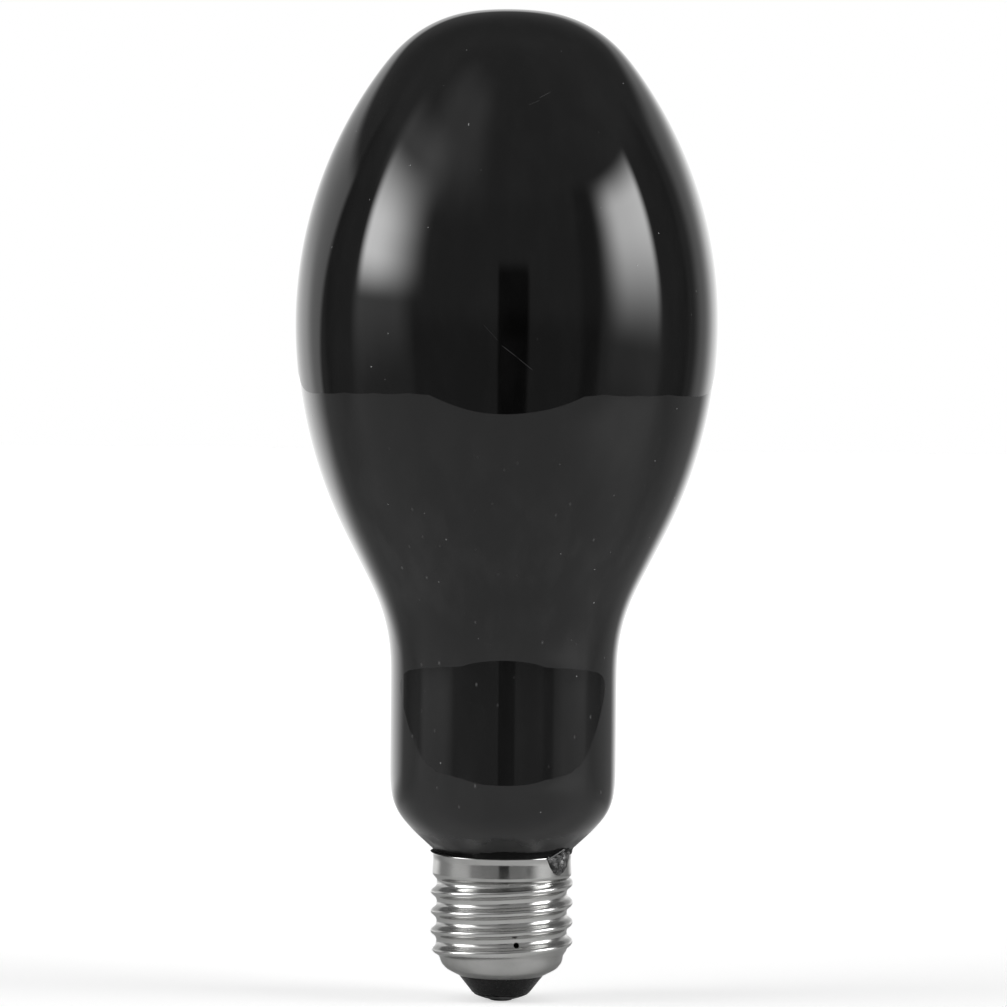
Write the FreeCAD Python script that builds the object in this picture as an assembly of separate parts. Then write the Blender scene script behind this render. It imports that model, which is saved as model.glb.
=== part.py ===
import FreeCAD, Part
import math
import os
from FreeCAD import Vector

# Self-ballasted ultraviolet lamp: a blown black-glass bulb cemented into a rolled E27 screw cap.
# Millimetres. The origin is the tip of the centre contact, +Z runs up the lamp's axis and -Y is its front.
# Azimuths are in degrees, counted from +X towards +Y, so the front is at -90.

# Blown bulb, outside
lamp_length = 183.0
bulb_radius = 39.0
widest_height = 125.3
crown_radius = 66.0
shoulder_radius = 23.3
shoulder_offset = 3.7
lower_side_radius = 85.5
taper_angle = 27.4
flare_radius = 31.0
neck_radius = 21.0
neck_foot_radius = 9.5
cone_angle = 47.5

# Sealed end of the bulb, inside the cap
seal_radius = 10.9
seal_depth = 8.0
seal_edge_radius = 2.0
exhaust_tip_radius = 3.2
exhaust_tip_length = 5.0
exhaust_tip_rounding = 2.4

# Cap shell, rolled from thin sheet
sheet = 0.3
rim_height = 27.5
collar_radius = 12.9
collar_length = 4.0
collar_step_height = 1.0
root_radius = 12.05
tail_height = 9.9
tail_foot_radius = 10.5
tail_foot_height = 6.2
tail_foot_rounding = 2.2
lip_radius = 7.9
lip_height = 4.75
vent_radius = 0.52
vent_height = 11.6
vent_azimuth = -77.0

# E27 screw thread, rolled, right-hand: its ridge is worked in flats and rides on the shell's wall
thread_pitch = 3.629
crest_radius = 13.15
lowest_crest_height = 11.05
full_turns = 3.36
run_in_turns = 0.4
run_out_turns = 0.33
turns_below_right = 0.36
ridge_half_width = 1.45
ridge_shoulder_half_width = 0.85
ridge_crest_half_width = 0.3
ridge_shoulder_share = 0.57
ridge_sink = 0.12
points_per_turn = 12

# Cement between the glass and the shell, with the lip squeezed out over the rim
cement_below_step = 1.6
cement_overhang = 0.25
cement_lip_height = 0.4
cement_climb = 0.8

# Black glass insulator and what it carries
insulator_tip_radius = 5.15
contact_seat_height = 1.4
insulator_inner_height = 8.2
lead_hole_radius = 0.9
contact_radius = 5.0
contact_edge = 0.18
contact_dome_radius = 11.5
solder_drop_radius = 2.2
solder_drop_flat = 1.2
solder_drop_fullness = 0.33

# Lead wires and the drip of solder on the collar
lead_radius = 0.15
lead_clearance = 0.02
lead_bend_radius = 0.5
lead_spread = 4.5
lead_drop = 2.5
side_lead_azimuth = -34.0
side_lead_hook_azimuth = -50.0
drip_azimuth = -34.0
drip_left_width = 4.1
drip_right_width = 5.6
drip_tip_width = 1.4
drip_tip_rounding = 1.2
drip_tip_rise = 0.6
drip_thickness = 0.8
drip_edge_radius = 0.45

# Worked out from the sizes above
collar_foot = rim_height - collar_length
root_top = collar_foot - collar_step_height
shell_bore = collar_radius - sheet
lead_room = (lead_radius + lead_clearance)/math.cos(math.radians(cone_angle))
cone_rim_radius = shell_bore - 2*lead_room
thread_depth = crest_radius - root_radius
cone_slope = math.tan(math.radians(cone_angle))


def at(radius, height):
    """A point of the half section, on the +X side."""
    return Vector(radius, 0, height)


def polar(radius, azimuth, height):
    """A point by its distance from the axis, its azimuth and its height."""
    turn = math.radians(azimuth)
    return Vector(radius*math.cos(turn), radius*math.sin(turn), height)


def towards(centre, point, distance):
    """The point that lies a given distance from a centre, in the direction of another point."""
    direction = point - centre
    return centre + direction*(distance/direction.Length)


def arc_about(centre, start, end):
    """The shorter arc of a circle from one of its points to another."""
    middle = towards(centre, (start + end)*0.5, (start - centre).Length)
    return Part.Arc(start, middle, end).toShape()


def rounded(points, radii):
    """Edges of an open line through points, with an arc at each inner corner that has a radius."""
    edges = []
    start = points[0]
    for corner, after, radius in zip(points[1:], points[2:], radii):
        if radius > 0:
            back = (start - corner).normalize()
            ahead = (after - corner).normalize()
            half_angle = back.getAngle(ahead)/2
            reach = radius/math.tan(half_angle)
            middle = (back + ahead).normalize()
            bend_start = corner + back*reach
            bend_end = corner + ahead*reach
            bend_middle = corner + middle*(radius/math.sin(half_angle) - radius)
            edges.append(Part.makeLine(start, bend_start))
            edges.append(Part.Arc(bend_start, bend_middle, bend_end).toShape())
            start = bend_end
        else:
            edges.append(Part.makeLine(start, corner))
            start = corner
    edges.append(Part.makeLine(start, points[-1]))
    return edges


def turned(edges):
    """A solid of revolution from a closed outline of the half section."""
    outline = Part.Wire(Part.__sortEdges__(edges))
    return Part.Face(outline).revolve(Vector(0, 0, 0), Vector(0, 0, 1), 360)


def turned_polygon(points):
    """A solid of revolution from the corners of a closed straight-sided outline."""
    return turned(Part.makePolygon(points + points[:1]).Edges)


def cone_height(radius):
    """Height at which the glass cone above the cap has a given radius."""
    return rim_height + (radius - cone_rim_radius)/cone_slope


def upper_side_radius(shoulder_centre):
    """Radius of the side that stands upright at the bulb's widest place and runs on into the shoulder."""
    aside = bulb_radius - shoulder_centre.x
    above = shoulder_centre.z - widest_height
    return (aside**2 + above**2 - shoulder_radius**2)/(2*(aside - shoulder_radius))


def glass_bulb():
    """The sealed bulb: crown, shoulder, sides, taper, neck, cone and the seal inside the cap."""
    crown_centre = at(0, lamp_length - crown_radius)
    shoulder_rise = math.sqrt((crown_radius - shoulder_radius)**2 - shoulder_offset**2)
    shoulder_centre = crown_centre + at(shoulder_offset, shoulder_rise)
    side_radius = upper_side_radius(shoulder_centre)
    upper_centre = at(bulb_radius - side_radius, widest_height)
    lower_centre = at(bulb_radius - lower_side_radius, widest_height)
    top = at(0, lamp_length)
    widest = at(bulb_radius, widest_height)
    crown_end = towards(crown_centre, shoulder_centre, crown_radius)
    shoulder_end = towards(upper_centre, shoulder_centre, side_radius)
    taper = math.radians(taper_angle)
    taper_start = lower_centre + at(math.cos(taper), -math.sin(taper))*lower_side_radius
    taper_foot = taper_start.z - (taper_start.x - neck_radius)/math.tan(taper)
    seal_foot = cone_height(seal_radius) - seal_depth
    tip_foot = seal_foot - exhaust_tip_length
    lower_points = [
        taper_start,
        at(neck_radius, taper_foot),
        at(neck_radius, cone_height(neck_radius)),
        at(seal_radius, cone_height(seal_radius)),
        at(seal_radius, seal_foot),
        at(exhaust_tip_radius, seal_foot),
        at(exhaust_tip_radius, tip_foot),
        at(0, tip_foot),
    ]
    lower_radii = [flare_radius, neck_foot_radius, 0, seal_edge_radius, 0, exhaust_tip_rounding]
    outline = [
        arc_about(crown_centre, top, crown_end),
        arc_about(shoulder_centre, crown_end, shoulder_end),
        arc_about(upper_centre, shoulder_end, widest),
        arc_about(lower_centre, widest, taper_start),
    ]
    outline += rounded(lower_points, lower_radii)
    outline.append(Part.makeLine(lower_points[-1], top))
    return turned(outline)


def shell_outline():
    """Outside of the cap shell from its rim down to the lip round the insulator, as an open wire."""
    points = [
        at(collar_radius, rim_height),
        at(collar_radius, collar_foot),
        at(root_radius, root_top),
        at(root_radius, tail_height),
        at(tail_foot_radius, tail_foot_height),
        at(lip_radius, lip_height),
    ]
    return Part.Wire(rounded(points, [0, 0, 0, tail_foot_rounding]))


def shell_lining():
    """Inside of the cap shell: its outside, set in by the sheet's thickness."""
    return shell_outline().makeOffset2D(-sheet, 2, False, True)


def smooth_step(share):
    """Eases from 0 to 1 as the share goes from 0 to 1."""
    share = max(0.0, min(1.0, share))
    return share*share*(3 - 2*share)


def thread_base(height):
    """Radius that the thread stands on: the root, then the tapering tail."""
    tail_slope = (root_radius - tail_foot_radius)/(tail_height - tail_foot_height)
    return root_radius - max(0, tail_height - height)*tail_slope


def ridge_edge(offset, height, eased=True):
    """One edge of the thread's ridge: a helix that eases out of the wall and back, or stays in it."""
    first_turn = -turns_below_right - run_in_turns
    last_turn = full_turns - turns_below_right + run_out_turns
    steps = round((last_turn - first_turn)*points_per_turn)
    points = []
    for step in range(steps + 1):
        turn = first_turn + (last_turn - first_turn)*step/steps
        level = lowest_crest_height + turn*thread_pitch + offset
        ease = smooth_step((turn - first_turn)/run_in_turns)*smooth_step((last_turn - turn)/run_out_turns)
        proud = (height + ridge_sink)*ease - ridge_sink if eased else height
        points.append(polar(thread_base(level) + proud, 360*turn, level))
    curve = Part.BSplineCurve()
    curve.interpolate(points)
    return curve.toShape()


def thread_ridge():
    """The screw thread's ridge: flanks, shoulders and crest as ruled strips between helices."""
    shoulder_height = thread_depth*ridge_shoulder_share
    lines = [
        ridge_edge(-ridge_half_width, -2*ridge_sink, eased=False),
        ridge_edge(-ridge_shoulder_half_width, shoulder_height),
        ridge_edge(-ridge_crest_half_width, thread_depth),
        ridge_edge(ridge_crest_half_width, thread_depth),
        ridge_edge(ridge_shoulder_half_width, shoulder_height),
        ridge_edge(ridge_half_width, -2*ridge_sink, eased=False),
    ]
    faces = [Part.makeRuledSurface(low, high) for low, high in zip(lines, lines[1:] + lines[:1])]
    for end in (0, -1):
        corners = [line.Vertexes[end].Point for line in lines]
        faces.append(Part.Face(Part.makePolygon(corners + corners[:1])))
    skin = Part.makeShell(faces)
    skin.sewShape()
    ridge = Part.makeSolid(skin)
    if ridge.Volume < 0:
        ridge.reverse()
    return ridge


def filled_to_axis(wire):
    """Solid of revolution between an open wire of the half section and the axis."""
    top = wire.OrderedVertexes[0].Point
    bottom = wire.OrderedVertexes[-1].Point
    closing = Part.makePolygon([bottom, at(0, bottom.z), at(0, top.z), top])
    return turned(wire.Edges + closing.Edges)


def cap_shell():
    """Thin rolled shell with collar, screw thread, tail, turned-in lip and the small vent hole."""
    outside = filled_to_axis(shell_outline())
    lip = shell_outline().OrderedVertexes[-1].Point
    lip_inside = shell_lining().OrderedVertexes[-1].Point
    mouth = turned_polygon([at(0, lip.z), lip, lip_inside, at(0, lip_inside.z)])
    vent_way = polar(1, vent_azimuth, 0)
    vent = Part.makeCylinder(vent_radius, crest_radius, at(0, vent_height), vent_way)
    solid = outside.fuse(thread_ridge())
    return solid.cut([filled_to_axis(shell_lining()), mouth, vent]).removeSplitter()


def insulator():
    """Black glass fused into the shell's lower end, with the cone that carries the contact."""
    lip = shell_outline().OrderedVertexes[-1].Point
    lip_inside = shell_lining().OrderedVertexes[-1].Point
    filled = filled_to_axis(shell_lining()).common(Part.makeCylinder(root_radius, insulator_inner_height))
    cone = turned_polygon([
        at(0, contact_seat_height),
        at(insulator_tip_radius, contact_seat_height),
        lip,
        lip_inside,
        at(0, lip_inside.z),
    ])
    hole = Part.makeCylinder(lead_hole_radius, insulator_inner_height)
    return cone.fuse(filled).cut(hole).removeSplitter()


def dome_height(radius):
    """Height of the contact's domed face at a given distance from the axis."""
    edge_height = contact_seat_height - contact_edge
    edge_drop = math.sqrt(contact_dome_radius**2 - contact_radius**2)
    return edge_height + edge_drop - math.sqrt(contact_dome_radius**2 - radius**2)


def dome_arc(inner_radius, outer_radius):
    """Part of the domed face in the half section."""
    stations = (inner_radius, (inner_radius + outer_radius)/2, outer_radius)
    return Part.Arc(*[at(radius, dome_height(radius)) for radius in stations]).toShape()


def contact_plate():
    """Domed contact disc with the eyelet that the centre lead comes through."""
    dome = dome_arc(lead_hole_radius, contact_radius)
    edge = Part.makePolygon([
        dome.Vertexes[-1].Point,
        at(contact_radius, contact_seat_height),
        at(lead_hole_radius, contact_seat_height),
        dome.Vertexes[0].Point,
    ])
    return turned([dome] + edge.Edges)


def contact_solder(centre_lead):
    """Drop of solder that fills the eyelet and ends in the worn flat at the lamp's tip."""
    dome = dome_arc(lead_hole_radius, solder_drop_radius)
    drop_edge = dome.Vertexes[-1].Point
    middle = at((solder_drop_flat + solder_drop_radius)/2, drop_edge.z*solder_drop_fullness)
    bulge = Part.Arc(drop_edge, middle, at(solder_drop_flat, 0)).toShape()
    core = Part.makePolygon([
        at(solder_drop_flat, 0),
        at(0, 0),
        at(0, contact_seat_height),
        at(lead_hole_radius, contact_seat_height),
        dome.Vertexes[0].Point,
    ])
    return turned([dome, bulge] + core.Edges).cut(centre_lead)


def wire_along(points):
    """Round wire along straight runs joined by bends."""
    path = Part.Wire(rounded(points, [lead_bend_radius]*(len(points) - 2)))
    section = Part.Wire(Part.makeCircle(lead_radius, points[0], points[1] - points[0]))
    return path.makePipeShell([section], True, False)


def centre_lead():
    """Lead from the seal down the cap to the drop of solder at the tip."""
    seal_foot = cone_height(seal_radius) - seal_depth
    bend_height = seal_foot - exhaust_tip_length - lead_drop
    azimuth = side_lead_azimuth + 180
    return wire_along([
        polar(lead_spread, azimuth, seal_foot),
        polar(lead_spread, azimuth, bend_height),
        at(0, bend_height),
        at(0, contact_seat_height/2),
    ])


def side_lead():
    """Lead from the seal up between glass and shell, out over the rim and hooked into the solder."""
    seal_foot = cone_height(seal_radius) - seal_depth
    run_radius = seal_radius + lead_radius + lead_clearance
    over_rim = collar_radius + cement_overhang + lead_radius + 2*lead_bend_radius
    hook_radius = collar_radius + lead_radius + lead_clearance
    return wire_along([
        polar(lead_spread, side_lead_azimuth, seal_foot),
        polar(lead_spread, side_lead_azimuth, seal_foot - lead_drop),
        polar(run_radius, side_lead_azimuth, seal_foot - lead_drop),
        polar(run_radius, side_lead_azimuth, cone_height(run_radius - lead_room)),
        polar(over_rim, side_lead_azimuth, cone_height(over_rim - lead_room)),
        polar(hook_radius, side_lead_hook_azimuth, rim_height - 2*lead_radius),
    ])


def capping_cement(lead):
    """Ring of cement that holds the bulb in the shell, with a lip over the rim and room for the lead."""
    rim, collar_end, step_end = [vertex.Point for vertex in shell_lining().OrderedVertexes[:3]]
    foot = root_top - cement_below_step
    overhang_radius = collar_radius + cement_overhang
    ring = turned_polygon([
        at(seal_radius, foot),
        at(step_end.x, foot),
        step_end,
        collar_end,
        rim,
        at(overhang_radius, rim_height),
        at(overhang_radius, rim_height + cement_lip_height),
        at(cone_rim_radius + cone_slope*cement_climb, rim_height + cement_climb),
        at(seal_radius, cone_height(seal_radius)),
    ])
    return ring.cut(lead)


def lies_at_radius(edge, radius):
    """Whether an edge runs along a cylinder about the lamp's axis."""
    points = edge.discretize(3)
    return all(abs(math.hypot(point.x, point.y) - radius) < 1e-4 for point in points)


def side_solder(lead, cement):
    """Drip of solder that runs down the collar from the rim to a rounded tip."""
    top = rim_height
    tip = collar_foot + drip_tip_rise
    outward = polar(1, drip_azimuth, 0)
    across = polar(1, drip_azimuth + 90, 0)
    corners = [
        (-drip_left_width, top),
        (-drip_tip_width, tip),
        (drip_tip_width, tip),
        (drip_right_width, top),
    ]
    points = [across*aside + Vector(0, 0, height) for aside, height in corners]
    outline = rounded(points, [drip_tip_rounding]*2) + [Part.makeLine(points[-1], points[0])]
    prism = Part.Face(Part.Wire(outline)).extrude(outward*(2*collar_radius))
    outer_radius = collar_radius + drip_thickness
    outer = Part.makeCylinder(outer_radius, lamp_length)
    drip = prism.common(outer).cut(Part.makeCylinder(collar_radius, lamp_length))
    outer_edges = [edge for edge in drip.Edges if lies_at_radius(edge, outer_radius)]
    return drip.makeFillet(drip_edge_radius, outer_edges).cut(lead).cut(cement)


os.makedirs("parts", exist_ok=True)
lead_to_tip = centre_lead()
lead_to_rim = side_lead()
cement = capping_cement(lead_to_rim)
nodes = {
    "glass_bulb": glass_bulb(),
    "cap_shell": cap_shell(),
    "capping_cement": cement,
    "insulator": insulator(),
    "contact_plate": contact_plate(),
    "contact_solder": contact_solder(lead_to_tip),
    "centre_lead": lead_to_tip,
    "side_lead": lead_to_rim,
    "side_solder": side_solder(lead_to_rim, cement),
}
for name, shape in nodes.items():
    shape.exportStep(f"parts/{name}.step")
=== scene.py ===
import math
import bmesh
import bpy
from mathutils import Matrix, Vector, noise


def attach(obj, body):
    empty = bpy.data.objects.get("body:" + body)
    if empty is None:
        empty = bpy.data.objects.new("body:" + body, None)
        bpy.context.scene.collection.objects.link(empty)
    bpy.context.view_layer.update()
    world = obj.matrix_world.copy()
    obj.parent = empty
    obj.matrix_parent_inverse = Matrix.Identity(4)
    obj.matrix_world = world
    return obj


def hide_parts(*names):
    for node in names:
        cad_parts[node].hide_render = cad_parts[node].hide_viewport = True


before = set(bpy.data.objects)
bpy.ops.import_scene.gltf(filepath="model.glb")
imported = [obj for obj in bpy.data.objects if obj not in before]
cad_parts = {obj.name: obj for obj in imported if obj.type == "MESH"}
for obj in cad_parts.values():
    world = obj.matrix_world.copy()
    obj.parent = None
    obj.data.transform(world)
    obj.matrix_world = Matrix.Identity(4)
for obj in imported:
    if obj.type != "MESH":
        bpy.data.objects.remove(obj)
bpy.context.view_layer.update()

# Black-light lamp: black glass bulb, rolled screw cap, cement, solder and contact.
# The sizes below are millimetres where nothing else is said. The front of the lamp faces -Y.
MM = 0.001

# Glass bulb
LAMP_LENGTH = 183.0
BULB_RADIUS = 39.0
WIDEST_HEIGHT = 125.3
CROWN_RADIUS = 66.0
SHOULDER_RADIUS = 23.3
SHOULDER_OFFSET = 3.7
LOWER_SIDE_RADIUS = 85.5
TAPER = math.radians(27.4)
FLARE_RADIUS = 31.0
NECK_RADIUS = 21.0
NECK_FOOT_RADIUS = 9.5
CONE_RIM_RADIUS = 12.097
CONE_SLOPE = math.tan(math.radians(47.5))
SEAL_RADIUS = 10.9
SEAL_TOP = 26.403
SEAL_FOOT = 18.403
EXHAUST_TIP_RADIUS = 3.2
EXHAUST_TIP_FOOT = 13.403
SEAL_BENDS = (2.0, 0.3, 2.4)
GLASS_SPACING = 0.25
SOFTENED_POINTS = 10
KEPT_EVERY = 4

# Cap shell
SHEET = 0.3
RIM_HEIGHT = 27.5
COLLAR_RADIUS = 12.9
COLLAR_FOOT = 23.5
RIM_INSET = 0.03
WAIST_INSET = 0.1
WAIST_DROP = 1.0
ROOT_RADIUS = 12.05
ROOT_TOP = 22.5
TAIL_HEIGHT = 9.4
TAIL_CREASE = (11.42, 8.45)
TAIL_SIDE = (11.3, 7.25)
TAIL_FOOT = (10.3, 6.0)
LIP_RADIUS = 7.9
LIP_HEIGHT = 4.75
LIP_INSET = 0.1
SHELL_BENDS = (0.14, 6.0, 0.75, 0.55, 0.8, 0.35, 2.4, 3.0)
SHELL_SPACING = 0.1
VENT_RADIUS = 0.52
VENT_DRILL_REACH = 2.0
VENT_HEIGHT = 11.6
VENT_AZIMUTH = math.radians(-77.0)
CRISP_ANGLE = math.radians(40.0)

# Screw thread. Its ends, and what it takes to ease in and out, are in turns.
PITCH = 3.629
CREST_RADIUS = 0.65
VALLEY_RADIUS = 1.27
FLANK_ANGLE = math.radians(50.0)
LOWEST_CREST = 11.05
FIRST_TURN = -0.76
LAST_TURN = 3.33
RUN_IN = 0.4
RUN_OUT = 0.33
THREAD_BLEND = 0.04

# Insulator and contact
INSULATOR_TIP_RADIUS = 5.15
CONTACT_SEAT = 1.4
CONTACT_RADIUS = 5.0
CONTACT_EDGE = 0.18
CONTACT_ROUND = 0.05
CONTACT_FILLET = 0.06
CONTACT_DOME_RADIUS = 11.5
SOLDER_DROP_RADIUS = 2.2
SOLDER_DROP_FLAT = 1.2
LEAD_HOLE_RADIUS = 0.9
INSULATOR_CORNERS = (
    (0.0, 8.2), (10.9, 8.2), (10.2, 6.4), (LIP_RADIUS, LIP_HEIGHT + SHEET),
    (LIP_RADIUS - 0.12, LIP_HEIGHT - 0.1), (INSULATOR_TIP_RADIUS + 0.1, CONTACT_SEAT + 0.05),
    (INSULATOR_TIP_RADIUS - 0.5, CONTACT_SEAT), (0.0, CONTACT_SEAT),
)
INSULATOR_BENDS = (0.3, 1.0, 0.1, 0.3, 0.15, 0.05)
INSULATOR_SPACING = 0.2
DOME_STEPS = 24
DROP_STEPS = 8

# Cement: a hidden ring, a lip over the rim, and climbs as (degrees from the front, height above the rim)
CEMENT_RING = (
    (10.95, 26.4), (10.95, 20.9), (11.7, 20.9), (11.7, 22.4), (12.55, 23.4), (12.55, RIM_HEIGHT - 0.06),
)
CEMENT_HANG = 0.22
CEMENT_HANG_AT_LEFT = 0.16
CEMENT_LIP = 0.2
CEMENT_LUMPS = 0.12
CEMENT_SKIN = 0.12
HANG_LUMPS = 0.06
SKIN_LUMPS = 0.08
CEMENT_TUCK = 0.05
LIP_START = 0.3
LIP_TURN = 0.72*math.pi
LIP_END = 0.84
LIP_STEPS = (0.0, 0.35, 0.7, 1.0)
WALL_STEPS = 12
LEAST_CLIMB = 0.22
FILLED_CLIMB = 0.9
CEMENT_CLIMBS = (
    (-180, 0.9), (-120, 0.6), (-75, 0.25), (-45, 0.28), (-28, 0.6), (-14, 1.15), (0, 1.5), (12, 1.35),
    (25, 1.2), (36, 1.25), (48, 1.75), (60, 1.5), (75, 1.0), (100, 0.8), (180, 0.9),
)

# Solder drip: edges from the rim down as (azimuth in degrees, height), lumps as (depth, lumps per mm)
DRIP_LEFT = ((-52.5, 27.8), (-49.3, 26.9), (-46.3, 25.7), (-42.2, 24.6), (-38.4, 24.15))
DRIP_RIGHT = ((-12.0, 28.6), (-16.0, 27.2), (-22.5, 25.4), (-30.0, 24.45), (-35.4, 24.15))
DRIP_THICKNESS = 0.62
DRIP_THINNING = 0.4
DRIP_LEAST = 0.04
DRIP_SEATING = 0.02
DRIP_SAG = 0.18
DRIP_TOP_LUMPS = 0.3
DRIP_LUMPS = (0.3, 1.1)
DRIP_SMALL_LUMPS = (0.14, 2.6)

# Scratches on the front of the glass, as two (x, z) ends and how plainly each shows
SCRATCH_WIDTH = 0.07
SCRATCHES = (
    ((-4.4, 125.7), (-1.4, 122.4), 0.06),
    ((-1.1, 121.9), (2.0, 119.6), 0.16),
    ((1.8, 119.7), (4.8, 117.3), 0.15),
    ((3.4, 164.6), (5.6, 165.6), 0.1),
    ((5.3, 165.9), (7.6, 167.2), 0.14),
)

# Stage and camera, in metres, with the image in pixels and the sensor in millimetres
TABLE_EDGE = ((-0.296, 0.27), (-0.25, 0.35), (-0.11, 0.475), (0.1, 0.57), (0.4, 0.62), (3.0, 0.65))
IMAGE_SIZE = 1007
PIXELS_PER_METRE = 5420.0
SENSOR_WIDTH = 36.0
CAMERA_DISTANCE = 1.03
CAMERA_ASIDE = -0.00074
CAMERA_AIM_HEIGHT = 0.09203
CAMERA_PITCH = math.radians(2.5)
CAMERA_ROLL = math.radians(-0.52)

# Window light: strength, then the degrees round the room and of height where a patch rises and falls
WINDOW_LIGHT = (
    (10.2, (-93.0, -86.0, -82.0, -44.0), (4.0, 15.0, 20.0, 39.0)),
    (0.5, (-95.0, -86.0, -64.0, -50.0), (-14.0, 5.0, 7.0, 16.0)),
    (0.5, (-98.0, -86.0, -60.0, -36.0), (24.0, 34.0, 40.0, 52.0)),
    (0.32, (-84.0, -54.0, -34.0, -8.0), (24.0, 46.0, 58.0, 74.0)),
    (8.6, (51.5, 71.0, 88.0, 94.0), (-6.0, 22.0, 26.0, 36.5)),
    (0.14, (52.0, 64.0, 84.0, 100.0), (-20.0, -8.0, 0.0, 10.0)),
)


# Outlines of the half section, as (radius, height) points

def arc(centre, radius, start, end, steps=48):
    """Points of an arc. Angles are from straight up towards the outside."""
    points = []
    for step in range(steps + 1):
        angle = start + (end - start)*step/steps
        points.append((centre[0] + radius*math.sin(angle), centre[1] + radius*math.cos(angle)))
    return points


def rounded(corners, radii, steps=10):
    """An open line through corners, with an arc of its own radius at each inner one."""
    line = [corners[0]]
    for before, corner, after, radius in zip(corners, corners[1:], corners[2:], radii):
        back = (Vector(before) - Vector(corner)).normalized()
        ahead = (Vector(after) - Vector(corner)).normalized()
        half = back.angle(ahead)/2
        reach = radius/math.tan(half)
        centre = Vector(corner) + (back + ahead).normalized()*(radius/math.sin(half))
        start = Vector(corner) + back*reach - centre
        end = Vector(corner) + ahead*reach - centre
        for step in range(steps + 1):
            share = step/steps
            angle = start.angle(end)
            turned = (start*math.sin((1 - share)*angle) + end*math.sin(share*angle))/math.sin(angle)
            line.append(tuple(centre + turned))
    line.append(corners[-1])
    return line


def evenly(line, spacing):
    """The same line with points at an even spacing."""
    lengths = [0.0]
    for start, end in zip(line, line[1:]):
        lengths.append(lengths[-1] + math.dist(start, end))
    count = max(1, round(lengths[-1]/spacing))
    points = []
    piece = 0
    for index in range(count + 1):
        along = lengths[-1]*index/count
        while piece < len(line) - 2 and lengths[piece + 1] < along:
            piece += 1
        share = (along - lengths[piece])/max(1e-9, lengths[piece + 1] - lengths[piece])
        share = max(0.0, min(1.0, share))
        start, end = line[piece], line[piece + 1]
        points.append((start[0] + (end[0] - start[0])*share, start[1] + (end[1] - start[1])*share))
    return points


def blown(line, reach):
    """Softens where one arc meets the next, as blown glass does.

    The line starts on the axis and ends straight.
    """
    width = 2*reach + 1
    for _ in range(2):
        mirrored = [(-radius, height) for radius, height in line[reach:0:-1]]
        last, before = line[-1], line[-2]
        run, drop = last[0] - before[0], last[1] - before[1]
        onward = [(last[0] + run*step, last[1] + drop*step) for step in range(1, reach + 1)]
        padded = mirrored + line + onward
        softened = []
        for index in range(len(line)):
            near = padded[index:index + width]
            softened.append((sum(point[0] for point in near)/width, sum(point[1] for point in near)/width))
        line = softened
    return line


def cone_radius(height):
    """Radius of the glass cone that stands in the cap."""
    return CONE_RIM_RADIUS + (height - RIM_HEIGHT)*CONE_SLOPE


def bulb_outline():
    """Outside of the glass from the crown down to the sealed end in the cap."""
    crown_centre = (0.0, LAMP_LENGTH - CROWN_RADIUS)
    rise = math.sqrt((CROWN_RADIUS - SHOULDER_RADIUS)**2 - SHOULDER_OFFSET**2)
    shoulder_centre = (SHOULDER_OFFSET, crown_centre[1] + rise)
    aside = BULB_RADIUS - SHOULDER_OFFSET
    above = shoulder_centre[1] - WIDEST_HEIGHT
    side_radius = (aside**2 + above**2 - SHOULDER_RADIUS**2)/(2*(aside - SHOULDER_RADIUS))
    side_centre = (BULB_RADIUS - side_radius, WIDEST_HEIGHT)
    crown_end = math.atan2(SHOULDER_OFFSET, rise)
    shoulder_end = math.atan2(SHOULDER_OFFSET - side_centre[0], above)
    line = arc(crown_centre, CROWN_RADIUS, 0, crown_end)
    line += arc(shoulder_centre, SHOULDER_RADIUS, crown_end, shoulder_end)[1:]
    line += arc(side_centre, side_radius, shoulder_end, math.pi/2)[1:]
    lower_centre = (BULB_RADIUS - LOWER_SIDE_RADIUS, WIDEST_HEIGHT)
    line += arc(lower_centre, LOWER_SIDE_RADIUS, math.pi/2, math.pi/2 + TAPER)[1:]
    taper_start = line[-1]
    taper_foot = taper_start[1] - (taper_start[0] - NECK_RADIUS)/math.tan(TAPER)
    cone_top = RIM_HEIGHT + (NECK_RADIUS - CONE_RIM_RADIUS)/CONE_SLOPE
    corners = [taper_start, (NECK_RADIUS, taper_foot), (NECK_RADIUS, cone_top), (SEAL_RADIUS, SEAL_TOP)]
    line += rounded(corners, [FLARE_RADIUS, NECK_FOOT_RADIUS], steps=40)[1:]
    line = blown(evenly(line, GLASS_SPACING), SOFTENED_POINTS)
    line[0] = (0.0, line[0][1])
    seal = [
        (SEAL_RADIUS, SEAL_TOP),
        (SEAL_RADIUS, SEAL_FOOT),
        (EXHAUST_TIP_RADIUS, SEAL_FOOT),
        (EXHAUST_TIP_RADIUS, EXHAUST_TIP_FOOT),
        (0.0, EXHAUST_TIP_FOOT),
    ]
    return line[::KEPT_EVERY] + rounded(seal, SEAL_BENDS)[1:]


def shell_outside():
    """Outside of the cap shell's blank, before its thread is rolled, from the rim to the lip."""
    corners = [
        (COLLAR_RADIUS - SHEET, RIM_HEIGHT),
        (COLLAR_RADIUS - RIM_INSET, RIM_HEIGHT),
        (COLLAR_RADIUS - WAIST_INSET, RIM_HEIGHT - WAIST_DROP),
        (COLLAR_RADIUS, COLLAR_FOOT),
        (ROOT_RADIUS, ROOT_TOP),
        (ROOT_RADIUS, TAIL_HEIGHT),
        TAIL_CREASE,
        TAIL_SIDE,
        TAIL_FOOT,
        (LIP_RADIUS, LIP_HEIGHT),
    ]
    return rounded(corners, SHELL_BENDS)


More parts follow.
